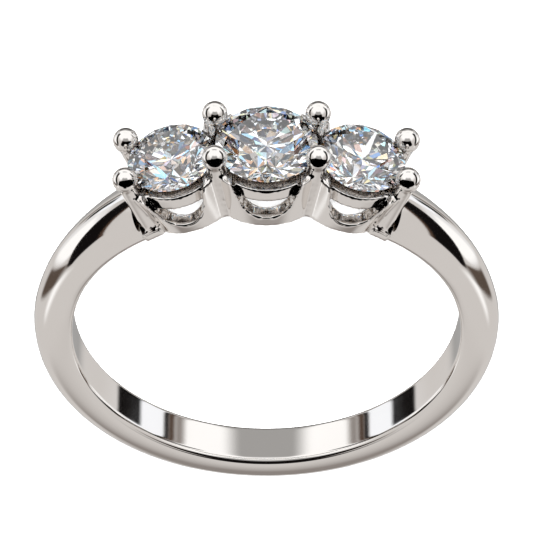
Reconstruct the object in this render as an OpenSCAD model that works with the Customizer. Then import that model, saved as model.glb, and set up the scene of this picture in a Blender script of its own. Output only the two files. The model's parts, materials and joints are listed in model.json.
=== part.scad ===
// Three stone ring in white gold, lying on its side as it would by itself.
// The finger axis is close to vertical and the head, with its row of stones, points towards -Y.

/* [Finger hole] */
// Inside diameter
inside_d = 17; // [16:0.1:19]

/* [Band] */
// Width of the band along the finger, from the back of the ring to its sides
band_w = 2.06; // [1.9:0.01:2.2]
// Thickness at the back of the ring
band_t = 1.42; // [1.2:0.01:1.5]
// How square the band's outside is at the back, from an oval at 2 to a box
squareness = 3.6; // [2.5:0.1:5]
// Bevel of the edges at the finger
edge_bevel = 0.14; // [0.05:0.01:0.2]

/* [Shoulders] */
// Thickness under the dome that rounds the sides and the shoulders
dome_t = 1.62; // [1.55:0.01:1.8]
// Width of the dome at the finger
dome_w = 3.36; // [3.2:0.01:3.6]
// Width of the shoulders at the finger, where they are widest
shoulder_w = 3.3; // [3:0.01:3.5]
// Turn from the back of the ring to the end of a shoulder
shoulder_turn = 145; // [143:0.5:147]
// Turn from the back of the ring to the end of the tongue under the head
tongue_turn = 149; // [148:0.5:151]
// Thickness of the tongue
tongue_t = 0.44; // [0.35:0.01:0.6]
// Width of the tongue, a little over the shoulders' width
tongue_w = 3.36; // [3.32:0.01:3.5]

/* [Stones] */
// Diameter of the centre stone
centre_d = 4.37; // [4.1:0.01:4.5]
// Diameter of a side stone
side_d = 3.8; // [3.6:0.01:3.85]
// Height of the centre stone's girdle over the finger axis
centre_h = 11.2; // [11:0.01:11.4]
// Height of a side stone's girdle over the finger axis
side_h = 10.33; // [10.2:0.01:10.45]
// Distance from the middle to a side stone along the row
side_x = 4.09; // [4.05:0.01:4.2]
// Lean of the side stones
side_lean = 14; // [11:0.5:17]
// Diameter of the table, as a share of the stone's diameter
table_share = 0.57; // [0.53:0.01:0.62]
// Angle of the crown's main facets
crown_angle = 34.5; // [32:0.5:36]
// Angle of the pavilion's main facets
pavilion_angle = 40.75; // [39:0.25:42]
// Thickness of the girdle, as a share of the stone's diameter
girdle_share = 0.03; // [0.02:0.005:0.04]
// Length of the star facets, as a share of the way from table to girdle
star_share = 0.5; // [0.4:0.05:0.6]
// Length of the lower girdle facets, as a share of the way to the point
lower_share = 0.78; // [0.7:0.01:0.85]
// Gap between a stone and its seat
seat_gap = 0.03; // [0.02:0.01:0.06]

/* [Head] */
// Radius of the centre collet at the finger
centre_collet_r = 2.3; // [2.15:0.01:2.4]
// Radius of a side collet at the finger
side_collet_r = 2.1; // [2:0.01:2.2]
// Distance from the middle to a side collet's axis at the finger, along the row
side_collet_x = 3.1; // [3:0.01:3.3]
// Widening of the collets towards the stones
flare = 7.5; // [6:0.5:9]
// Wall of the collets
collet_wall = 0.68; // [0.55:0.01:0.75]
// Metal left under the middle of each scallop
scallop_floor = 0.6; // [0.5:0.01:0.7]
// Radius of the centre collet's scallops
scallop_r = 1.18; // [1:0.01:1.3]
// Slope of the scallops' sides
scallop_slope = 21; // [15:1:25]
// Top of the collets' horns under the girdle planes
horn_drop = 0.3; // [0.2:0.01:0.5]
// Radius of the scallops between the collets and at the row's ends
end_scallop_r = 0.62; // [0.5:0.01:0.75]
// Height of the gallery rails
rail_h = 0.7; // [0.55:0.01:0.8]
// Width of the gallery rails
rail_w = 0.58; // [0.4:0.01:0.65]
// Top of the centre rail under the centre stone's girdle plane
centre_rail_drop = 0.57; // [0.5:0.01:0.65]
// Top of a side rail under its stone's girdle plane
side_rail_drop = 0.5; // [0.45:0.01:0.6]

/* [Claws] */
// Diameter of the balls on the claws
ball_d = 1.12; // [1.05:0.01:1.2]
// Diameter of a claw under its ball
claw_d = 0.9; // [0.8:0.01:0.96]
// Diameter of a claw at its foot
claw_foot_d = 1; // [0.9:0.01:1.1]
// Distance along the row from the centre stone's rim to the inner balls
inner_ball_out = 0.025; // [0:0.005:0.06]
// Distance across the ring from the middle to the inner balls
inner_ball_y = 1.295; // [1.25:0.005:1.34]
// Height of the inner balls over the centre stone's girdle plane
inner_ball_h = 0.52; // [0.5:0.01:0.65]
// Distance along the row from a side stone's rim to the outer balls
outer_ball_out = 0.05; // [0.02:0.01:0.1]
// Distance across the ring from the middle to the outer balls
outer_ball_y = 1.163; // [1.13:0.001:1.19]
// Height of the outer balls under the side stones' middles
outer_ball_drop = 0.14; // [0.1:0.01:0.2]
// Distance along the row from the middle to the inner claws' feet
inner_foot_x = 1.72; // [1.65:0.01:1.8]
// Distance across the ring from the middle to the inner claws' feet
inner_foot_y = 1.15; // [1.1:0.01:1.2]
// Distance along the row from the middle to the outer claws' feet
outer_foot_x = 4.8; // [4.75:0.01:4.85]
// Distance across the ring from the middle to the outer claws' feet
outer_foot_y = 1.08; // [1.04:0.01:1.12]

/* [Hollow] */
// Length of the hollow between a shoulder's end and its claws
hollow_l = 1.3; // [1:0.05:1.4]
// Width of the hollow
hollow_w = 0.3; // [0.2:0.01:0.4]

/* [Hidden] */

inside_r = inside_d / 2;
ball_r = ball_d / 2;
centre_r = centre_d / 2;
side_r = side_d / 2;
// What a cut reaches past the metal that it goes through
over = 0.4;

section_points = 20;
arc_points = 20;
// Height over the finger axis at which the shoulders end at the finger and are widest
shoulder_h = -inside_r * cos(shoulder_turn);
dome_r = inside_r + dome_t;
// The band's own outside comes out of the dome towards the sides: it is a circle whose middle lies
// towards the head by as much as its radius is larger than the outside at the back
band_shift = 2 * (dome_t - band_t);
band_r = inside_r + band_t + band_shift;

// Half of a squared oval with its top at outside_r, as points [radius, height]
function half_oval(w, h, outside_r, power) = [
    for (i = [section_points:-1:0])
        let (a = 180 * i / section_points)
        [outside_r - h + h * pow(sin(a), 2 / power), sign(cos(a)) * w / 2 * pow(abs(cos(a)), 2 / power)]
];
// A ring with that section, which stands on a stem down into the finger hole
module oval_ring(w, h, outside_r, power)
    rotate_extrude($fn = 128) polygon(concat(
        [[inside_r * 0.8, -w / 2]],
        half_oval(w, h, outside_r, power),
        [[inside_r * 0.8, w / 2]]
    ));

// A shape drawn as [place across the ring, height towards the head], drawn out along the row
module along_row(length) in_head() rotate([90, 0, 90]) linear_extrude(length, center = true) children();
// A shape drawn as [place along the row, height towards the head], drawn out across the ring
module across_ring(width) in_head() rotate([90, 0, 0]) linear_extrude(width, center = true) children();

module band() difference() {
    translate([0, -band_shift, 0]) oval_ring(band_w, band_t, band_r, squareness);
    for (side = [0, 1]) mirror([0, 0, side]) translate([0, 0, band_w / 2 - edge_bevel])
        cylinder(h = edge_bevel + over, r1 = inside_r, r2 = inside_r + edge_bevel + over, $fn = 128);
}

// The shoulders widen evenly from within the band, level with the finger axis, to where they end
module shoulders() {
    start_w = band_w - 3 * edge_bevel;
    far = dome_r + over;
    far_w = start_w + (shoulder_w - start_w) * far / shoulder_h;
    along_row(2 * far) polygon([[-start_w / 2, 0], [start_w / 2, 0], [far_w / 2, far], [-far_w / 2, far]]);
}

module shank() difference() {
    intersection() {
        oval_ring(dome_w, dome_t, dome_r, 2);
        union() {
            band();
            shoulders();
        }
    }
    // The shoulders' ends
    reach = 2 * dome_r;
    across_ring(2 * shoulder_w) polygon([
        [0, 0],
        [reach * sin(shoulder_turn), -reach * cos(shoulder_turn)],
        [-reach * sin(shoulder_turn), -reach * cos(shoulder_turn)]
    ]);
}

module tongue()
    rotate([0, 0, 90 - tongue_turn]) rotate_extrude(angle = tongue_turn - shoulder_turn + 5, $fn = 128)
        translate([inside_r - over, -tongue_w / 2]) square([tongue_t + over, tongue_w]);

// Places something in the head, with +X along the row, +Z away from the finger and +Y across the ring
module in_head() rotate([90, 0, 0]) children();
module at_side_stone(side) translate([side * side_x, 0, side_h]) rotate([0, side * side_lean, 0]) children();

// The collets' axes, and where the side ones cross the finger hole
side_foot_h = sqrt(pow(inside_r, 2) - pow(side_collet_x, 2));
side_collet_lean = atan((side_x - side_collet_x) / (side_h - side_foot_h));
side_collet_h = (side_h - side_foot_h) / cos(side_collet_lean);
centre_collet_h = centre_h - inside_r;
module on_side_collet(side)
    translate([side * side_collet_x, 0, side_foot_h]) rotate([0, side * side_collet_lean, 0]) children();
module on_centre_collet() translate([0, 0, inside_r]) children();

// A cone that is r wide at z = 0 and widens by the collets' flare
module flared(r, from, to)
    translate([0, 0, from])
        cylinder(h = to - from, r1 = r + from * tan(flare), r2 = r + to * tan(flare), $fn = 96);

// The outline of a scallop: a round bottom at z = floor_z with sides that slope outwards to z = top_z
module scallop_outline(r, floor_z, top_z) {
    rise = top_z - floor_z - r * (1 - sin(scallop_slope));
    top_x = r * cos(scallop_slope) + rise * tan(scallop_slope);
    polygon(concat(
        [[top_x, top_z]],
        [for (i = [0:arc_points])
            let (a = -scallop_slope - (180 - 2 * scallop_slope) * i / arc_points)
            [r * cos(a), floor_z + r + r * sin(a)]],
        [[-top_x, top_z]]
    ));
}
module scallop_cut(r, floor_z, top_z, reach)
    rotate([90, 0, 0]) linear_extrude(2 * reach, center = true) scallop_outline(r, floor_z, top_z);

// A collet's wall, from under the finger hole up to its stone, with scallops across and along the row
module collet_wall(r, h, across_r, along_floor) {
    reach = r + h;
    difference() {
        flared(r, -2 * over, h - horn_drop);
        scallop_cut(across_r, scallop_floor, h + over, reach);
        rotate([0, 0, 90]) scallop_cut(end_scallop_r, along_floor, h + over, reach);
    }
}
module collet_inside(r, h) flared(r - collet_wall, -2 * over, h + 2 * over);

module rail(stone_d, drop) {
    outer = stone_d / 2 + seat_gap;
    translate([0, 0, -drop]) rotate_extrude($fn = 96)
        translate([outer - rail_w, -rail_h]) square([rail_w, rail_h]);
}

inner_ball = [centre_r + inner_ball_out, inner_ball_y, centre_h + inner_ball_h];
outer_ball = [side_x + side_r + outer_ball_out, outer_ball_y, side_h - outer_ball_drop];
function foot(x, y) = [x, y, sqrt(pow(inside_r, 2) - pow(x, 2))];
inner_foot = foot(inner_foot_x, inner_foot_y);
outer_foot = foot(outer_foot_x, outer_foot_y);
// A round claw with a ball on top. It runs on under its foot, so that the finger hole trims it.
module claw(ball, base) {
    way = ball - base;
    h = norm(way);
    translate(base) rotate([0, acos(way[2] / h), atan2(way[1], way[0])])
        rotate_extrude($fn = 48) intersection() {
            union() {
                polygon([[0, -2 * over], [claw_foot_d / 2, -2 * over], [claw_d / 2, h], [0, h]]);
                translate([0, h]) circle(r = ball_r);
            }
            translate([0, -3 * over]) square([ball_d, h + ball_r + 4 * over]);
        }
}
module claws() for (side = [0, 1], front = [0, 1]) mirror([side, 0, 0]) mirror([0, front, 0]) {
    claw(inner_ball, inner_foot);
    claw(outer_ball, outer_foot);
}

// The room that a stone needs: its outline turned round its axis, with the seat's gap all over
module seat(d) {
    r = d / 2 + seat_gap;
    half_girdle = d * girdle_share / 2 + seat_gap;
    crown_h = (1 - table_share) * d / 2 * tan(crown_angle);
    depth = r * tan(pavilion_angle);
    rotate_extrude($fn = 96) polygon([
        [0, -half_girdle - depth],
        [r, -half_girdle],
        [r, half_girdle],
        [r - crown_h / tan(crown_angle), half_girdle + crown_h],
        [0, half_girdle + crown_h]
    ]);
}

module head_metal() {
    difference() {
        union() {
            difference() {
                union() {
                    on_centre_collet() collet_wall(centre_collet_r, centre_collet_h, scallop_r, centre_collet_h / 2);
                    for (side = [-1, 1]) on_side_collet(side)
                        collet_wall(side_collet_r, side_collet_h, scallop_r * side_d / centre_d, side_collet_h / 2);
                }
                on_centre_collet() collet_inside(centre_collet_r, centre_collet_h);
                for (side = [-1, 1]) on_side_collet(side) collet_inside(side_collet_r, side_collet_h);
            }
            claws();
            translate([0, 0, centre_h]) rail(centre_d, centre_rail_drop);
            for (side = [-1, 1]) at_side_stone(side) rail(side_d, side_rail_drop);
        }
        translate([0, 0, centre_h]) seat(centre_d);
        for (side = [-1, 1]) at_side_stone(side) seat(side_d);
    }
}

// The hollow that is left between a shoulder's end and its outer claws
module hollow() {
    r = hollow_w / 2;
    half = hollow_l / 2 - r;
    way = outer_ball - outer_foot;
    lean = atan(way[0] / way[2]);
    middle = outer_foot + way / norm(way) * (hollow_l / 2 + tongue_t);
    across_ring(2 * shoulder_w) translate([middle[0] + (claw_foot_d / 2 + r) / cos(lean), middle[2]])
        rotate(-lean) {
            square([hollow_w, 2 * half], center = true);
            for (end = [-1, 1]) translate([0, end * half]) circle(r = r, $fn = 32);
        }
}

module metal() difference() {
    union() {
        difference() {
            shank();
            for (side = [0, 1]) mirror([side, 0, 0]) hollow();
        }
        for (side = [0, 1]) mirror([side, 0, 0]) tongue();
        in_head() head_metal();
    }
    cylinder(h = 4 * shoulder_w, r = inside_r, center = true, $fn = 128);
}

// A round brilliant: an eight-sided table, star, main and upper facets on the crown,
// and main and lower facets on the pavilion, with its girdle plane at z = 0
arc_steps = 4;
function around(r, a, z) = [r * cos(a), r * sin(a), z];
// The height of the plane through p, q and s at the place x, y
function plane_z(p, q, s, x, y) =
    let (n = cross(q - p, s - p))
    p[2] - (n[0] * (x - p[0]) + n[1] * (y - p[1])) / n[2];
module brilliant(d) {
    r = d / 2;
    g = d * girdle_share / 2;
    table_r = r * table_share;
    crown_h = (r - table_r) * tan(crown_angle);
    point_h = r * tan(pavilion_angle);
    flat_r = table_r * cos(22.5);
    star_r = flat_r + star_share * (r - flat_r);
    star_z = g + (r - star_r * cos(22.5)) * tan(crown_angle);
    lower_r = r * (1 - lower_share);
    lower_z = -g - (r - lower_r * cos(22.5)) * tan(pavilion_angle);
    n = 16 * arc_steps;

    table = [for (k = [0:7]) around(table_r, 45 * k, g + crown_h)];
    star = [for (k = [0:7]) around(star_r, 45 * k + 22.5, star_z)];
    lower = [for (k = [0:7]) around(lower_r, 45 * k + 22.5, lower_z)];
    // Each point of the girdle lies on the facet over or under it, so the girdle's edges are waved
    function rim(i, z, inner) =
        let (
            a = 22.5 * i / arc_steps,
            facet = floor(i / arc_steps),
            near = inner[floor(facet / 2)],
            first = around(r, 22.5 * facet, z),
            second = around(r, 22.5 * (facet + 1), z),
            p = around(r, a, z)
        )
        [p[0], p[1], plane_z(near, first, second, p[0], p[1])];
    upper_rim = [for (i = [0:n - 1]) rim(i, g, star)];
    lower_rim = [for (i = [0:n - 1]) rim(i, -g, lower)];
    point = [0, 0, -g - point_h];

    points = concat(table, star, upper_rim, lower_rim, lower, [point]);
    star_0 = 8;
    upper_0 = 16;
    under_0 = upper_0 + n;
    lower_0 = under_0 + n;
    point_0 = lower_0 + 8;
    main_step = 2 * arc_steps;
    faces = concat(
        [[for (k = [7:-1:0]) k]],
        [for (k = [0:7]) [k, (k + 1) % 8, star_0 + k]],
        [for (k = [0:7]) [k, star_0 + k, upper_0 + main_step * k, star_0 + (k + 7) % 8]],
        [for (f = [0:15])
            [star_0 + floor(f / 2), for (i = [arc_steps:-1:0]) upper_0 + (f * arc_steps + i) % n]],
        [for (i = [0:n - 1]) [upper_0 + i, upper_0 + (i + 1) % n, under_0 + (i + 1) % n, under_0 + i]],
        [for (f = [0:15])
            [lower_0 + floor(f / 2), for (i = [0:arc_steps]) under_0 + (f * arc_steps + i) % n]],
        [for (k = [0:7]) [point_0, lower_0 + (k + 7) % 8, under_0 + main_step * k, lower_0 + k]]
    );
    polyhedron(points, faces);
}

// How the ring rests: on the rounded edge at its back and on the lower front edge of the centre collet,
// under its scallop. The points are [along the ring, height].
back_points = [for (p = half_oval(band_w, band_t, band_r, squareness)) [p[0] - band_shift, p[1]]];
front_point = [-inside_r - scallop_floor, -centre_collet_r - scallop_floor * tan(flare)];
tilt = min([for (p = back_points) atan((p[1] - front_point[1]) / (p[0] - front_point[0]))]);
function turned_y(p) = p[0] * cos(tilt) + p[1] * sin(tilt);
function turned_z(p) = p[1] * cos(tilt) - p[0] * sin(tilt);
lift = -turned_z(front_point);
back_y = max([for (p = back_points) turned_y(p)]);
front_y = turned_y([-inner_ball[2], -inner_ball[1]]) - ball_r;
module laid_down() translate([0, -(back_y + front_y) / 2, lift]) rotate([-tilt, 0, 0]) children();

module band_with_setting() color([0.87, 0.86, 0.84]) laid_down() metal();
module centre_stone() color([0.9, 0.95, 1, 0.7])
    laid_down() in_head() translate([0, 0, centre_h]) rotate([0, 0, 22.5]) brilliant(centre_d);
module side_stone(side) color([0.9, 0.95, 1, 0.7])
    laid_down() in_head() at_side_stone(side) rotate([0, 0, 22.5]) brilliant(side_d);
// Left and right are as a viewer of the front sees them, with the head up
module left_stone() side_stone(1);
module right_stone() side_stone(-1);

band_with_setting();
centre_stone();
left_stone();
right_stone();
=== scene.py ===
import json
import math
import bmesh
import bpy
from mathutils import Matrix, Vector


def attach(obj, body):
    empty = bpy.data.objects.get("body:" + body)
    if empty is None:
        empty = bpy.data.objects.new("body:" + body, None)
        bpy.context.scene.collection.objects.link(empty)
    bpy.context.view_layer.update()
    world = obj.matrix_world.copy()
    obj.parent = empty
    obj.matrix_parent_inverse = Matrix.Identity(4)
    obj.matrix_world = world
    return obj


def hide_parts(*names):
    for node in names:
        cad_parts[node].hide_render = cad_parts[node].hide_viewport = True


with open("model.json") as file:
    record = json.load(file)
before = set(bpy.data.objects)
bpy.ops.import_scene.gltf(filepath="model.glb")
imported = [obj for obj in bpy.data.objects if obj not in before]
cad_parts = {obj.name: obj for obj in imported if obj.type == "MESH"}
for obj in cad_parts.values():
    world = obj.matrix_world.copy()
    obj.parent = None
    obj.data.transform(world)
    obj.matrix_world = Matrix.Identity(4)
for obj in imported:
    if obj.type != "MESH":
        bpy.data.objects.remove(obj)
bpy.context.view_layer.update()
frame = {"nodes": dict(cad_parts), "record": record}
print("Three stone ring: the packed part is loaded")

# The ring is modelled in millimetres around its finger axis: the head towards -y, the finger along z.
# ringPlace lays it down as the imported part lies, and headPlace does so for the head's pieces,
# which have x along the row of stones, y along the finger and z away from it.
mm = 0.001
bore = next(m for m in frame["record"]["mounts"] if m["name"] == "finger_bore")
insideR = bore["dims"]["r_mm"]
ringPlace = Matrix.Translation(bore["pos_m"]) @ Matrix.Rotation(-math.asin(bore["axis"][1]), 4, "X")
ringPlace = ringPlace @ Matrix.Scale(mm, 4)
headPlace = ringPlace @ Matrix.Rotation(math.radians(90), 4, "X")
weld = 1e-5  # points closer than this are merged


def toObject(bm, name):
    mesh = bpy.data.meshes.new(name)
    bm.to_mesh(mesh)
    bm.free()
    obj = bpy.data.objects.new(name, mesh)
    bpy.context.scene.collection.objects.link(obj)
    return obj


def applyModifiers(obj):
    graph = bpy.context.evaluated_depsgraph_get()
    mesh = bpy.data.meshes.new_from_object(obj.evaluated_get(graph))
    obj.modifiers.clear()
    obj.data = mesh


def discard(*objects):
    for obj in objects:
        bpy.data.objects.remove(obj)


def cutAway(obj, *cutters):
    for cutter in cutters:
        cut = obj.modifiers.new("cut", "BOOLEAN")
        cut.operation, cut.solver, cut.object = "DIFFERENCE", "EXACT", cutter
    applyModifiers(obj)


def joined(objects, name):
    bm = bmesh.new()
    for obj in objects:
        bm.from_mesh(obj.data)
    discard(*objects)
    return toObject(bm, name)


def eachOnce(parts):
    return list(dict.fromkeys(parts))  # which keeps their order, as a set does not


def lathe(profile, name, place=Matrix(), closed=False, steps=96, start=0.7, sweep=360):
    # Turns a profile of [radius, height] points round the z axis. The start, in degrees, keeps the edges
    # of crossing pieces apart, and a sweep under 360 leaves ends, which are closed.
    bm = bmesh.new()
    verts = [bm.verts.new((r, 0, z)) for r, z in profile]
    pairs = list(zip(verts, verts[1:])) + ([(verts[-1], verts[0])] if closed else [])
    edges = [bm.edges.new(pair) for pair in pairs]
    toStart = Matrix.Rotation(math.radians(start), 3, "Z")
    bmesh.ops.rotate(bm, verts=verts, cent=(0, 0, 0), matrix=toStart)
    bmesh.ops.spin(bm, geom=verts + edges, axis=(0, 0, 1), cent=(0, 0, 0), angle=math.radians(sweep),
                   steps=steps, use_merge=sweep == 360)
    bmesh.ops.remove_doubles(bm, verts=bm.verts, dist=weld)
    bmesh.ops.holes_fill(bm, edges=bm.edges, sides=0)
    bmesh.ops.recalc_face_normals(bm, faces=bm.faces)
    bmesh.ops.transform(bm, matrix=place, verts=bm.verts)
    return toObject(bm, name)


def readTable(table, column, x):
    # A smooth curve through one column of a table whose first column rises
    rows = [(row[0], row[column]) for row in table]
    slopes = []
    for i, (xi, yi) in enumerate(rows):
        (xa, ya), (xb, yb) = rows[max(i - 1, 0)], rows[min(i + 1, len(rows) - 1)]
        before = (yi - ya) / (xi - xa) if i else 0
        after = (yb - yi) / (xb - xi) if i < len(rows) - 1 else 0
        slopes.append(2 * before * after / (before + after) if before * after > 0 else 0)
    x = min(max(x, rows[0][0]), rows[-1][0])
    i = next(k for k in range(1, len(rows)) if x <= rows[k][0])
    (x0, y0), (x1, y1) = rows[i - 1], rows[i]
    w = x1 - x0
    t = (x - x0) / w
    return (y0 * (1 + 2 * t) * (1 - t) ** 2 + y1 * (3 - 2 * t) * t * t
            + w * t * (1 - t) * (slopes[i - 1] * (1 - t) - slopes[i] * t))


# Shank

shank = {
    # turn from the back of the ring, half width at the finger, thickness, squareness of the outside
    "sections": [
        (0, 1.03, 1.47, 3.6),
        (45, 1.03, 1.60, 3.6),
        (75, 1.05, 1.68, 3.2),
        (90, 1.08, 1.70, 2.5),
        (105, 1.14, 1.63, 2.1),
        (120, 1.32, 1.60, 2.0),
        (130, 1.46, 1.57, 2.0),
        (140, 1.59, 1.555, 2.0),
        (146, 1.65, 1.555, 2.0),
    ],
    "turn": 146,  # where its ends are, before they are cut
    "edgeRound": 0.22,  # of the edges at the finger
    "cornerShare": 0.6,  # of the inside's points, on the rounded edges
    "endOut": 0.44,  # from the middle of the outer claws to the cut ends
    "cutBelow": -2,  # the y up to which the cuts reach
    "edgeBevel": 0.06,
    "bevelSteps": 3,
    # its middle is up along the outer claws from their feet, and out from them
    "hollow": {"up": 1.08, "out": 0.52, "halfLength": 0.6, "halfWidth": 0.11, "taper": 0.3,
               "through": 6, "steps": 32},
    "tubeR": 3,  # of the tube before its points move, where any size over 1 does
    "pointsAround": 64,
    "pointsAlong": 256,
}


def shankPoint(p, turn, a):
    # The distance from the axis and the place along the finger, at the angle a round the section
    halfWidth, thick, square = (readTable(p["sections"], k, abs(math.degrees(turn))) for k in (1, 2, 3))
    side = math.copysign(1, math.cos(a))
    start = math.asin((p["edgeRound"] / thick) ** (square / 2))  # where the outside meets the rounded edge
    startWidth = halfWidth * math.cos(start) ** (2 / square)
    if a >= 0:
        a = min(a, math.pi - a)
        a = start + (math.pi / 2 - start) * a / (math.pi / 2)
        r = insideR + thick * math.sin(a) ** (2 / square)
        z = halfWidth * max(math.cos(a), 0) ** (2 / square)
    else:
        t = min(-a, math.pi + a) / (math.pi / 2)
        corner = min(t / p["cornerShare"], 1) * math.pi / 2
        r = insideR + p["edgeRound"] * (1 - math.sin(corner))
        z = startWidth - p["edgeRound"] * (1 - math.cos(corner))
        if t > p["cornerShare"]:
            z *= (1 - t) / (1 - p["cornerShare"])
    return r, side * z


def cutEnd(bm, side, p):
    # Cuts one end along the outer claws, inside their outer side
    lean, foot = leanOf("outer"), footOf("outer")
    normal = Vector((side * math.cos(lean), math.sin(lean), 0))
    point = Vector((side * foot.x, -foot.z, 0)) + normal * p["endOut"]
    middles = [(f, f.calc_center_median()) for f in bm.faces]
    near = [f for f, middle in middles if middle.x * side > 0 and middle.y < p["cutBelow"]]
    near += eachOnce(e for f in near for e in f.edges) + eachOnce(v for f in near for v in f.verts)
    bmesh.ops.bisect_plane(bm, geom=near, plane_co=point, plane_no=normal, clear_inner=True)


def makeShank(p):
    # A round tube is spun round the finger, then each of its points moves onto the shank's own section
    bm = bmesh.new()
    bmesh.ops.create_circle(bm, segments=p["pointsAround"], radius=1)
    stand = (Matrix.Rotation(math.radians(-p["turn"]), 4, "Z") @ Matrix.Translation((0, p["tubeR"], 0))
             @ Matrix.Rotation(math.radians(90), 4, "Y"))
    bmesh.ops.transform(bm, matrix=stand, verts=bm.verts)
    bmesh.ops.spin(bm, geom=bm.verts[:] + bm.edges[:], axis=(0, 0, 1), cent=(0, 0, 0),
                   angle=math.radians(2 * p["turn"]), steps=p["pointsAlong"])
    bmesh.ops.remove_doubles(bm, verts=bm.verts, dist=weld)
    for v in bm.verts:
        turn = math.atan2(v.co.x, v.co.y)
        a = math.atan2(math.hypot(v.co.x, v.co.y) - p["tubeR"], v.co.z)
        r, z = shankPoint(p, turn, a)
        v.co = (r * math.sin(turn), r * math.cos(turn), z)
    for side in (1, -1):
        cutEnd(bm, side, p)
    bmesh.ops.holes_fill(bm, edges=bm.edges, sides=0)
    ends = [f for f in bm.faces if len(f.verts) > p["pointsAround"] / 2]  # no other face has so many corners
    rims = eachOnce(e for f in ends for e in f.edges)
    bmesh.ops.bevel(bm, geom=rims, offset=p["edgeBevel"], offset_type="OFFSET", affect="EDGES",
                    segments=p["bevelSteps"], profile=0.5, material=-1, clamp_overlap=True)
    bmesh.ops.recalc_face_normals(bm, faces=bm.faces)
    made = toObject(bm, "shank")
    hollows = [hollowCutter(side, p["hollow"]) for side in (1, -1)]
    cutAway(made, *hollows)
    discard(*hollows)
    return made


def hollowCutter(side, p):
    # A slim lens through the shank's end, beside the outer claws
    bm = bmesh.new()
    bmesh.ops.create_cone(bm, cap_ends=True, segments=p["steps"], radius1=1, radius2=1, depth=p["through"])
    for v in bm.verts:
        along = v.co.y  # from the finger's side, where the hollow is wider, to the head's
        v.co = (v.co.x * p["halfWidth"] * (1 - p["taper"] * along), along * p["halfLength"], v.co.z)
    lean, foot = leanOf("outer"), footOf("outer")
    middle = Vector((foot.x + math.sin(lean) * p["up"] + math.cos(lean) * p["out"],
                     -foot.z - math.cos(lean) * p["up"] + math.sin(lean) * p["out"], 0))
    place = Matrix.Diagonal((side, 1, 1, 1)) @ Matrix.Translation(middle) @ Matrix.Rotation(lean, 4, "Z")
    place = place @ Matrix.Diagonal((1, -1, 1, 1))
    bmesh.ops.transform(bm, matrix=place, verts=bm.verts)
    bmesh.ops.recalc_face_normals(bm, faces=bm.faces)
    return toObject(bm, "hollow")


# Head: collets, rails, claws and tongues

stones = {
    "centreD": 4.37,
    "sideD": 3.8,
    "centreH": 11.2,  # from the finger's axis to the girdle
    "sideH": 10.33,
    "sideX": 4.09,
    "sideLean": 14,
    "gap": 0.03,
    "crown": 34.5,  # angles
    "pavilion": 40.75,
    "table": 0.57,  # shares of the stone's width
    "girdle": 0.03,
}
collets = {
    "centreR": 2.3,  # at the finger
    "sideR": 2.1,
    "sideX": 3.1,
    "flare": 7.5,
    "wall": 0.68,
    "hornDrop": 0.3,  # from the stone's girdle to the tops of the walls
    "scallopFloor": 0.6,
    "scallopR": 1.18,
    "scallopSlope": 21,
    "scallopOver": 0.5,  # how far the scallops' sides run on over the girdle
    "endScallopR": 0.62,
    "cutPast": 1,  # how far the inside's cutter reaches past the collet
    "steps": 128,
    "insideStart": 0.1,
    "scallopSteps": 64,
}
rails = {"height": 0.7, "width": 0.58, "centreDrop": 0.57, "sideDrop": 0.5}
claws = {
    "ballD": 1.12,
    "topD": 0.9,
    "footD": 1.0,
    # from the finger to the ball: foot x, foot y, ball x, ball y, ball height
    "inner": (1.72, 1.15, 2.21, 1.295, 11.72),
    "outer": (4.8, 1.08, 6.04, 1.163, 10.19),
    "steps": 48,
    "ballSteps": 24,
}
tongues = {"thick": 0.44, "width": 3.36, "turnFrom": 143, "turnTo": 149, "under": 0.3, "steps": 24}
fingerHole = {"halfLength": 4, "steps": 256}
headSurface = {
    "voxel": 0.064,
    "smoothing": 0.5,
    "smoothings": 7,
    "under": 0.8,  # how far collets and claws start below the finger hole's wall, which is cut afterwards
}


def footOf(name):
    x, y = claws[name][:2]
    return Vector((x, y, math.sqrt(insideR ** 2 - x ** 2)))


def leanOf(name):
    foot, ball = footOf(name), Vector(claws[name][2:])
    return math.atan2(ball.x - foot.x, ball.z - foot.z)


def stonePlace(side):
    if not side:
        return Matrix.Translation((0, 0, stones["centreH"]))
    return (Matrix.Translation((side * stones["sideX"], 0, stones["sideH"]))
            @ Matrix.Rotation(math.radians(side * stones["sideLean"]), 4, "Y"))


def seatCutter(side):
    # The room that a stone needs in the metal
    d = stones["sideD" if side else "centreD"]
    r, half = d / 2 + stones["gap"], d * stones["girdle"] / 2 + stones["gap"]
    crownRun = (1 - stones["table"]) * d / 2
    top = half + crownRun * math.tan(math.radians(stones["crown"]))
    depth = r * math.tan(math.radians(stones["pavilion"]))
    return lathe([(0, -half - depth), (r, -half), (r, half), (r - crownRun, top), (0, top)],
                 "seat", stonePlace(side))


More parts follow.
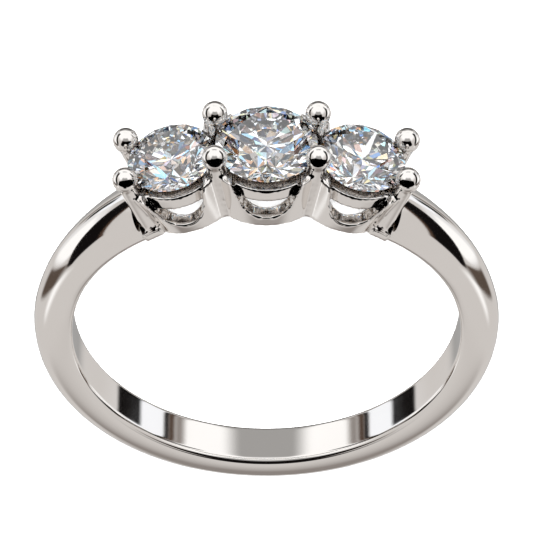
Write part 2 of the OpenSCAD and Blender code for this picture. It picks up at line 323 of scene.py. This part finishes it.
def scallopCutter(r, floor, top, reach, turn):
    # A circle whose upper half is drawn up into sides that slope apart, pushed through the whole collet
    slope = math.radians(collets["scallopSlope"])
    tangent = -r * math.sin(slope)  # the height at which the sides leave the circle
    rise = top - floor - r - tangent
    bm = bmesh.new()
    bmesh.ops.create_circle(bm, cap_ends=True, segments=collets["scallopSteps"], radius=r)
    for v in bm.verts:
        x, z = v.co.x, v.co.y
        if z > tangent:
            inwards = 1 - abs(x) / r if z > 0 else 0
            up = 0.5 * (z - tangent) / r + 0.5 * inwards
            out = r * math.cos(slope) + up * rise * math.tan(slope)
            x = math.copysign(out, x) if inwards < 0.99 else 0  # the topmost corner stays in the middle
            z = up * rise + tangent
        v.co = (x, -reach, z + floor + r)
    drawn = bmesh.ops.extrude_face_region(bm, geom=bm.faces[:])["geom"]
    far = [g for g in drawn if isinstance(g, bmesh.types.BMVert)]
    bmesh.ops.translate(bm, verts=far, vec=(0, 2 * reach, 0))
    bmesh.ops.recalc_face_normals(bm, faces=bm.faces)
    bmesh.ops.transform(bm, matrix=Matrix.Rotation(math.radians(turn), 4, "Z"), verts=bm.verts)
    return toObject(bm, "scallop")


def makeCollet(side):
    if side:
        footZ = math.sqrt(insideR ** 2 - collets["sideX"] ** 2)
        run, rise = stones["sideX"] - collets["sideX"], stones["sideH"] - footZ
        place = (Matrix.Translation((side * collets["sideX"], 0, footZ))
                 @ Matrix.Rotation(side * math.atan2(run, rise), 4, "Y"))
        r, h = collets["sideR"], math.hypot(run, rise)
        scallopR = collets["scallopR"] * stones["sideD"] / stones["centreD"]
    else:
        place = Matrix.Translation((0, 0, insideR))
        r, h, scallopR = collets["centreR"], stones["centreH"] - insideR, collets["scallopR"]
    widen, past = math.tan(math.radians(collets["flare"])), collets["cutPast"]
    low, high, inner = -headSurface["under"], h - collets["hornDrop"], r - collets["wall"]
    collet = lathe([(0, low), (r + low * widen, low), (r + high * widen, high), (0, high)], "collet",
                   steps=collets["steps"])
    inside = lathe([(0, low - past), (inner + (low - past) * widen, low - past),
                    (inner + (h + past) * widen, h + past), (0, h + past)], "colletInside",
                   steps=collets["steps"], start=collets["insideStart"])
    top, reach = h + collets["scallopOver"], r + h
    cutters = [inside, scallopCutter(scallopR, collets["scallopFloor"], top, reach, 0),
               scallopCutter(collets["endScallopR"], h / 2, top, reach, 90)]
    cutAway(collet, *cutters)
    discard(*cutters)
    collet.data.transform(place)
    return collet


def makeRail(side):
    outer = stones["sideD" if side else "centreD"] / 2 + stones["gap"]
    top = -rails["sideDrop" if side else "centreDrop"]
    inner, low = outer - rails["width"], top - rails["height"]
    return lathe([(inner, low), (outer, low), (outer, top), (inner, top)], "rail", stonePlace(side),
                 closed=True)


def makeClaw(name, side, front):
    foot, ball = footOf(name), Vector(claws[name][2:])
    h, ballR, topR = (ball - foot).length, claws["ballD"] / 2, claws["topD"] / 2
    neck = math.asin(topR / ballR)
    steps = claws["ballSteps"]
    arc = [math.pi - neck - (math.pi - neck) * i / steps for i in range(steps)]
    profile = [(0, -headSurface["under"]), (claws["footD"] / 2, -headSurface["under"])]
    profile += [(ballR * math.sin(a), h + ballR * math.cos(a)) for a in arc] + [(0, h + ballR)]
    turn = Vector((0, 0, 1)).rotation_difference(ball - foot).to_matrix().to_4x4()
    mirror = Matrix.Diagonal((side, front, 1, 1))
    return lathe(profile, "claw", mirror @ Matrix.Translation(foot) @ turn, steps=claws["steps"])


def makeTongue(side):
    # A curved plate under the claws, which runs on inside the shank's end
    low, high = insideR - tongues["under"], insideR + tongues["thick"]
    half = tongues["width"] / 2
    return lathe([(low, -half), (high, -half), (high, half), (low, half)], "tongue",
                 Matrix.Diagonal((side, 1, 1, 1)) @ Matrix.Rotation(math.radians(-90), 4, "X"),
                 closed=True, steps=tongues["steps"], start=90 - tongues["turnTo"],
                 sweep=tongues["turnTo"] - tongues["turnFrom"])


def makeHead():
    half = fingerHole["halfLength"]
    hole = lathe([(0, -half), (insideR, -half), (insideR, half), (0, half)], "fingerHole",
                 Matrix.Rotation(math.radians(90), 4, "X"), steps=fingerHole["steps"])
    seats = [seatCutter(side) for side in (-1, 0, 1)]
    pieces = [makeCollet(side) for side in (-1, 0, 1)] + [makeRail(side) for side in (-1, 0, 1)]
    for name in ("inner", "outer"):
        pieces += [makeClaw(name, side, front) for side in (1, -1) for front in (1, -1)]
    pieces += [makeTongue(side) for side in (1, -1)]
    for piece in pieces:
        cutAway(piece, hole, *seats)
    discard(hole, *seats)
    head = joined(pieces, "head")
    fuse = head.modifiers.new("fuse", "REMESH")
    fuse.mode, fuse.voxel_size, fuse.use_smooth_shade = "VOXEL", headSurface["voxel"], True
    polish = head.modifiers.new("polish", "SMOOTH")
    polish.factor, polish.iterations = headSurface["smoothing"], headSurface["smoothings"]
    applyModifiers(head)
    return head


sharpFrom = 50  # the angle from which an edge is shaded as sharp
shankPiece = makeShank(shank)
print("Shank made")
headPiece = makeHead()
print("Head made:", len(headPiece.data.polygons), "faces")
shankPiece.data.transform(ringPlace)
headPiece.data.transform(headPlace)
metal = joined([shankPiece, headPiece], "whiteGoldRing")
metal.data.shade_smooth()
metal.data.set_sharp_from_angle(angle=math.radians(sharpFrom))
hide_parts("band_with_setting")
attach(metal, "root")


# Materials

whiteGold = {
    "pale": (0.93, 0.905, 0.88, 1),
    "deep": (0.90, 0.87, 0.84, 1),
    "patches": 260,
    "roughLow": 0.035,
    "roughHigh": 0.075,
    "hairlines": 9000,
    "hairDetail": 2,
    "bump": 0.03,
    "bumpDepth": 0.00001,
    "corner": (0.15, 0.115, 0.09, 1),  # painted shade: the dark colour painted deep in narrow corners, where shade falls
    "paintedShadeReach": 0.0006,
    "paintedShadeFrom": 0.25,  # how open a place is where that painted shade starts to fade, and where it is gone
    "paintedShadeTo": 0.65,
    "paintedShadeSamples": 8,
}
diamond = {"clear": (1, 1, 1, 1), "hazy": (0.985, 0.99, 1, 1), "patches": 900, "refraction": 2.42}


def newMaterial(name):
    material = bpy.data.materials.new(name)
    material.use_nodes = True
    tree = material.node_tree
    tree.nodes.clear()
    return material, tree


def finish(tree, shader):
    tree.links.new(shader, tree.nodes.new("ShaderNodeOutputMaterial").inputs["Surface"])


def fill(tree, socket, value):
    # A socket takes a value of its own or what another node gives
    if isinstance(value, bpy.types.NodeSocket):
        tree.links.new(value, socket)
    else:
        socket.default_value = value


def addNoise(tree, where, scale, detail=3):
    noise = tree.nodes.new("ShaderNodeTexNoise")
    noise.inputs["Scale"].default_value = scale
    noise.inputs["Detail"].default_value = detail
    tree.links.new(where, noise.inputs["Vector"])
    return noise.outputs["Fac"]


def addRange(tree, value, low, high, fromLow=0.3, fromHigh=0.7):
    span = tree.nodes.new("ShaderNodeMapRange")
    span.inputs["From Min"].default_value, span.inputs["From Max"].default_value = fromLow, fromHigh
    span.inputs["To Min"].default_value, span.inputs["To Max"].default_value = low, high
    tree.links.new(value, span.inputs["Value"])
    return span.outputs["Result"]


def addMix(tree, factor, first, second):
    mix = tree.nodes.new("ShaderNodeMix")
    mix.data_type = "RGBA"
    fill(tree, mix.inputs["Factor"], factor)
    fill(tree, mix.inputs["A"], first)
    fill(tree, mix.inputs["B"], second)
    return mix.outputs["Result"]


def makeWhiteGold(p):
    material, tree = newMaterial("whiteGold")
    where = tree.nodes.new("ShaderNodeTexCoord").outputs["Object"]
    patches = addNoise(tree, where, p["patches"])
    # Painted shade: narrow corners and gaps between parts are painted dark, by how open they are (ambient
    # occlusion)
    shadeProbe = tree.nodes.new("ShaderNodeAmbientOcclusion")
    shadeProbe.samples = p["paintedShadeSamples"]
    shadeProbe.inputs["Distance"].default_value = p["paintedShadeReach"]
    openness = addRange(tree, shadeProbe.outputs["AO"], 0, 1, p["paintedShadeFrom"], p["paintedShadeTo"])
    bump = tree.nodes.new("ShaderNodeBump")
    bump.inputs["Strength"].default_value, bump.inputs["Distance"].default_value = p["bump"], p["bumpDepth"]
    tree.links.new(addNoise(tree, where, p["hairlines"], p["hairDetail"]), bump.inputs["Height"])
    shader = tree.nodes.new("ShaderNodeBsdfPrincipled")
    shader.inputs["Metallic"].default_value = 1
    # the painted corner shade laid over the metal's own patchy tone
    colour = addMix(tree, openness, p["corner"], addMix(tree, patches, p["pale"], p["deep"]))
    tree.links.new(colour, shader.inputs["Base Color"])
    tree.links.new(addRange(tree, patches, p["roughLow"], p["roughHigh"]), shader.inputs["Roughness"])
    tree.links.new(bump.outputs["Normal"], shader.inputs["Normal"])
    finish(tree, shader.outputs["BSDF"])
    return material


def makeDiamond(p):
    material, tree = newMaterial("diamond")
    where = tree.nodes.new("ShaderNodeTexCoord").outputs["Object"]
    glass = tree.nodes.new("ShaderNodeBsdfGlass")
    glass.inputs["IOR"].default_value = p["refraction"]
    glass.inputs["Roughness"].default_value = 0
    tint = addMix(tree, addNoise(tree, where, p["patches"]), p["clear"], p["hazy"])
    tree.links.new(tint, glass.inputs["Color"])
    finish(tree, glass.outputs["BSDF"])
    return material


def putOn(obj, material):
    obj.data.materials.clear()
    obj.data.materials.append(material)


whiteGoldFinish, diamondFinish = makeWhiteGold(whiteGold), makeDiamond(diamond)
putOn(metal, whiteGoldFinish)
putOn(frame["nodes"]["band_with_setting"], whiteGoldFinish)
for name in ("centre_stone", "left_stone", "right_stone"):
    putOn(frame["nodes"][name], diamondFinish)
print("Materials made")


# Floor, light and camera

studio = {
    "floorSize": 1.2,
    "floorColour": (0.9, 0.9, 0.9, 1),
    "floorRough": 0.8,
    "background": (0.95, 0.95, 0.95, 1),
    "keySize": 0.05,
    "keyPower": 1.6,
    "keyPlace": (0, -0.149, 0.134),
}
cards = {
    # Cards close to the stones, which only polished metal mirrors: width, lower and upper edge in the middle
    # and at the ends, how far along the finger they stand, and their glow
    "darkCard": (21, (8.3, 14.9), (9.2, 12.4), 4.6, 0),
    "whiteCard": (26, (15.2, 21), (13.4, 19), -6.5, 1.1),
}


def makeFloor(p):
    bm = bmesh.new()
    bmesh.ops.create_grid(bm, x_segments=1, y_segments=1, size=p["floorSize"] / 2)
    floor = toObject(bm, "floor")
    material, tree = newMaterial("paleFloor")
    shader = tree.nodes.new("ShaderNodeBsdfPrincipled")
    shader.inputs["Base Color"].default_value = p["floorColour"]
    shader.inputs["Roughness"].default_value = p["floorRough"]
    finish(tree, shader.outputs["BSDF"])
    putOn(floor, material)
    floor.visible_glossy = floor.visible_transmission = False


def makeCard(name, width, middle, end, along, glow):
    bm = bmesh.new()
    bmesh.ops.create_grid(bm, x_segments=2, y_segments=1, size=1)
    for v in bm.verts:
        low, high = end if abs(v.co.x) > 0.5 else middle  # the grid's columns are at -1, 0 and 1
        v.co = (v.co.x * width / 2, along, high if v.co.y > 0 else low)
    bmesh.ops.transform(bm, matrix=headPlace, verts=bm.verts)
    card = toObject(bm, name)
    material, tree = newMaterial(name)
    shader = tree.nodes.new("ShaderNodeEmission")
    shader.inputs["Strength"].default_value = glow
    finish(tree, shader.outputs["Emission"])
    putOn(card, material)
    card.visible_camera = card.visible_diffuse = card.visible_transmission = card.visible_shadow = False


def makeKeyLight(p):
    light = bpy.data.lights.new("key", "AREA")
    light.size, light.energy = p["keySize"], p["keyPower"]
    obj = bpy.data.objects.new("key", light)
    obj.location = p["keyPlace"]
    obj.rotation_euler = (-Vector(p["keyPlace"])).to_track_quat("-Z", "Y").to_euler()
    obj.visible_glossy = obj.visible_transmission = False
    bpy.context.scene.collection.objects.link(obj)


# What the polished metal mirrors: a room that is pale from under the ring (-90) to over the head (90), with
# walls and panels in it. Each has its turn from behind the ring's rear edge (0) to in front of it (180), its
# height, its lean as turn for each degree of height, how soft its sides and ends are, and its colour. A later
# panel covers an earlier one.
white, pale, grey, blueWhite = (1.1, 1.1, 1.1), (0.85, 0.85, 0.86), (0.38, 0.375, 0.37), (1.02, 1.05, 1.1)
beige, dusk, murk = (0.645, 0.623, 0.607), (0.19, 0.17, 0.155), (0.28, 0.255, 0.24)
umber, sepia, brown = (0.13, 0.11, 0.095), (0.1, 0.075, 0.06), (0.075, 0.045, 0.03)
dim, black = (0.04, 0.035, 0.032), (0.006, 0.005, 0.005)
room = [(-90, dusk), (-84, murk), (-74, beige), (20, beige), (42, white)]
panels = {
    "rearWall": ((-40, 31), (-66, 62), 0, (12, 16), grey),
    "rearDark": ((-40, 26), (2, 22), 0, (10, 10), dim),
    "rearWindow": ((25, 62), (32, 110), 0, (14, 4), white),
    "besidePanel": ((58, 72), (23, 40), 0, (4, 6), umber),
    "sideLight": ((50, 98), (-19.5, 14), 0, (12, 5), pale),
    "bluePanel": ((43, 57.5), (4, 22.5), 0, (3, 3), blueWhite),
    "underPanel": ((44.5, 50.5), (-5, 9.5), 0, (2, 3), black),
    "overDark": ((40, 61), (22.3, 25), 0, (3, 2), black),
    "overPanel": ((40, 61), (24.7, 27.7), 0, (3, 2), brown),
    "overShade": ((37, 61), (27.7, 32), 0, (4, 4), murk),
    "post": ((38, 42), (-13, 20), 0, (2, 4), umber),
    "sideWindow": ((62, 100), (-18, 8), 0, (10, 6), white),
    "lowWindow": ((112, 122), (-42, -29), 0, (12, 10), white),
    "lowBand": ((72, 113.5), (-33, -22), 0, (16, 3), sepia),
    "sideBrown": ((88, 115), (-25, 45), -1, (3, 4), brown),
    "sideDark": ((88, 111.5), (-25, 45), -1, (3, 4), black),
    "frontEdge": ((118, 160), (-29, -3.5), 0, (3, 4), beige),
    "frontFoot": ((125, 260), (-120, -62), 0, (40, 22), murk),
    "frontHaze": ((146, 260), (28, 58), 0, (20, 14), grey),
    "frontBrown": ((144, 260), (-12, 30), 0, (6, 6), brown),
    "frontDark": ((147, 260), (-8, 31), 0, (6, 6), black),
    "frontLine": ((168, 260), (-42, 31), 0, (6, 6), black),
}
# What shows through the stones: bright and dark patches whose rims are split into colours, as a cut stone
# does. The stops say how bright the pattern is at each of its heights.
sparkle = {"patches": 7, "detail": 2, "split": 0.005,
           "stops": [(0.38, 0.01), (0.46, 0.15), (0.53, 0.6), (0.59, 1.7)]}


def addMath(tree, kind, *values):
    node = tree.nodes.new("ShaderNodeMath")
    node.operation = kind
    for socket, value in zip(node.inputs, values):
        fill(tree, socket, value)
    return node.outputs[0]


def addRamp(tree, factor, stops):
    ramp = tree.nodes.new("ShaderNodeValToRGB")
    elements = ramp.color_ramp.elements
    while len(elements) < len(stops):
        elements.new(1)
    for element, (place, colour) in zip(elements, stops):
        element.position = place
        element.color = (*colour, 1)
    tree.links.new(factor, ramp.inputs["Fac"])
    return ramp.outputs["Color"]


def addSpan(tree, value, span, softness):
    # 1 between the span's ends and 0 outside them, softly
    low, high = span
    away = addMath(tree, "ABSOLUTE", addMath(tree, "SUBTRACT", value, (low + high) / 2))
    fade = tree.nodes.new("ShaderNodeMapRange")
    fade.interpolation_type = "SMOOTHSTEP"
    fade.inputs["From Min"].default_value = (high - low + softness) / 2
    fade.inputs["From Max"].default_value = (high - low - softness) / 2
    tree.links.new(away, fade.inputs["Value"])
    return fade.outputs["Result"]


def addMirroredRoom(tree, where):
    direction = tree.nodes.new("ShaderNodeSeparateXYZ")
    tree.links.new(where, direction.inputs[0])
    x, y, z = direction.outputs
    around = addMath(tree, "ARCTAN2", addMath(tree, "ABSOLUTE", x), addMath(tree, "MULTIPLY", z, -1))
    turn = addMath(tree, "DEGREES", around)
    height = addMath(tree, "DEGREES", addMath(tree, "ARCSINE", addMath(tree, "MULTIPLY", y, -1)))
    share = addMath(tree, "MULTIPLY_ADD", height, 1 / 180, 0.5)
    mirrored = addRamp(tree, share, [((up + 90) / 180, colour) for up, colour in room])
    for turns, heights, lean, (sides, ends), colour in panels.values():
        upright = addMath(tree, "MULTIPLY_ADD", height, -lean, turn)
        inside = addMath(tree, "MULTIPLY", addSpan(tree, upright, turns, sides),
                         addSpan(tree, height, heights, ends))
        mirrored = addMix(tree, inside, mirrored, (*colour, 1))
    return mirrored


def addSparkle(tree, where, p):
    # Red, green and blue come from one pattern, each moved a little from the next
    colour = tree.nodes.new("ShaderNodeCombineColor")
    for k, channel in enumerate(colour.inputs):
        shift = tree.nodes.new("ShaderNodeVectorMath")
        shift.inputs[1].default_value = [(k - 1) * p["split"]] * 3
        tree.links.new(where, shift.inputs[0])
        pattern = addNoise(tree, shift.outputs[0], p["patches"], p["detail"])
        tree.links.new(addRamp(tree, pattern, [(at, (v, v, v)) for at, v in p["stops"]]), channel)
    return colour.outputs[0]


def addBackground(tree, colour):
    background = tree.nodes.new("ShaderNodeBackground")
    fill(tree, background.inputs["Color"], colour)
    return background.outputs[0]


def chooseShader(tree, chosen, first, second):
    choose = tree.nodes.new("ShaderNodeMixShader")
    for socket, value in zip(choose.inputs, (chosen, first, second)):
        tree.links.new(value, socket)
    return choose.outputs[0]


def makeWorld(p):
    world = bpy.data.worlds.new("studio")
    bpy.context.scene.world = world
    world.use_nodes = True
    tree = world.node_tree
    tree.nodes.clear()
    where = tree.nodes.new("ShaderNodeTexCoord").outputs["Generated"]
    rays = tree.nodes.new("ShaderNodeLightPath").outputs
    plain = addMath(tree, "MAXIMUM", rays["Is Camera Ray"], rays["Is Diffuse Ray"])
    shader = addBackground(tree, addMirroredRoom(tree, where))
    shader = chooseShader(tree, rays["Is Transmission Ray"], shader,
                          addBackground(tree, addSparkle(tree, where, sparkle)))
    shader = chooseShader(tree, plain, shader, addBackground(tree, p["background"]))
    tree.links.new(shader, tree.nodes.new("ShaderNodeOutputWorld").inputs["Surface"])


photoCamera = {
    "aim": (0, -1.5165, -1.6793),
    "distance": 300,
    "tilt": 42,
    "lens": 461.48,
    "sensor": 36,
    "clip": (0.01, 10),
}


def makeCamera(p):
    # It looks down on the ring from the head's side, with the head at the top of the picture
    data = bpy.data.cameras.new("camera")
    data.lens, data.sensor_width = p["lens"], p["sensor"]
    data.clip_start, data.clip_end = p["clip"]
    camera = bpy.data.objects.new("camera", data)
    tilt = math.radians(p["tilt"])
    look = Vector((0, math.cos(tilt), -math.sin(tilt)))
    up = Vector((0, -math.sin(tilt), -math.cos(tilt)))
    axes = Matrix((up.cross(-look), up, -look)).transposed().to_4x4()
    turned = ringPlace.to_3x3().normalized().to_4x4() @ axes
    place = Vector(p["aim"]) - look * p["distance"]
    camera.matrix_world = Matrix.Translation(ringPlace @ place) @ turned
    bpy.context.scene.collection.objects.link(camera)
    bpy.context.scene.camera = camera


makeFloor(studio)
for name, measures in cards.items():
    makeCard(name, *measures)
makeKeyLight(studio)
makeWorld(studio)
makeCamera(photoCamera)
scene = bpy.context.scene
scene.view_settings.view_transform = "Standard"
scene.cycles.max_bounces = 24
scene.cycles.transmission_bounces = 20
scene.cycles.glossy_bounces = 8
scene.cycles.use_denoising = True
print("Floor, light and camera set")
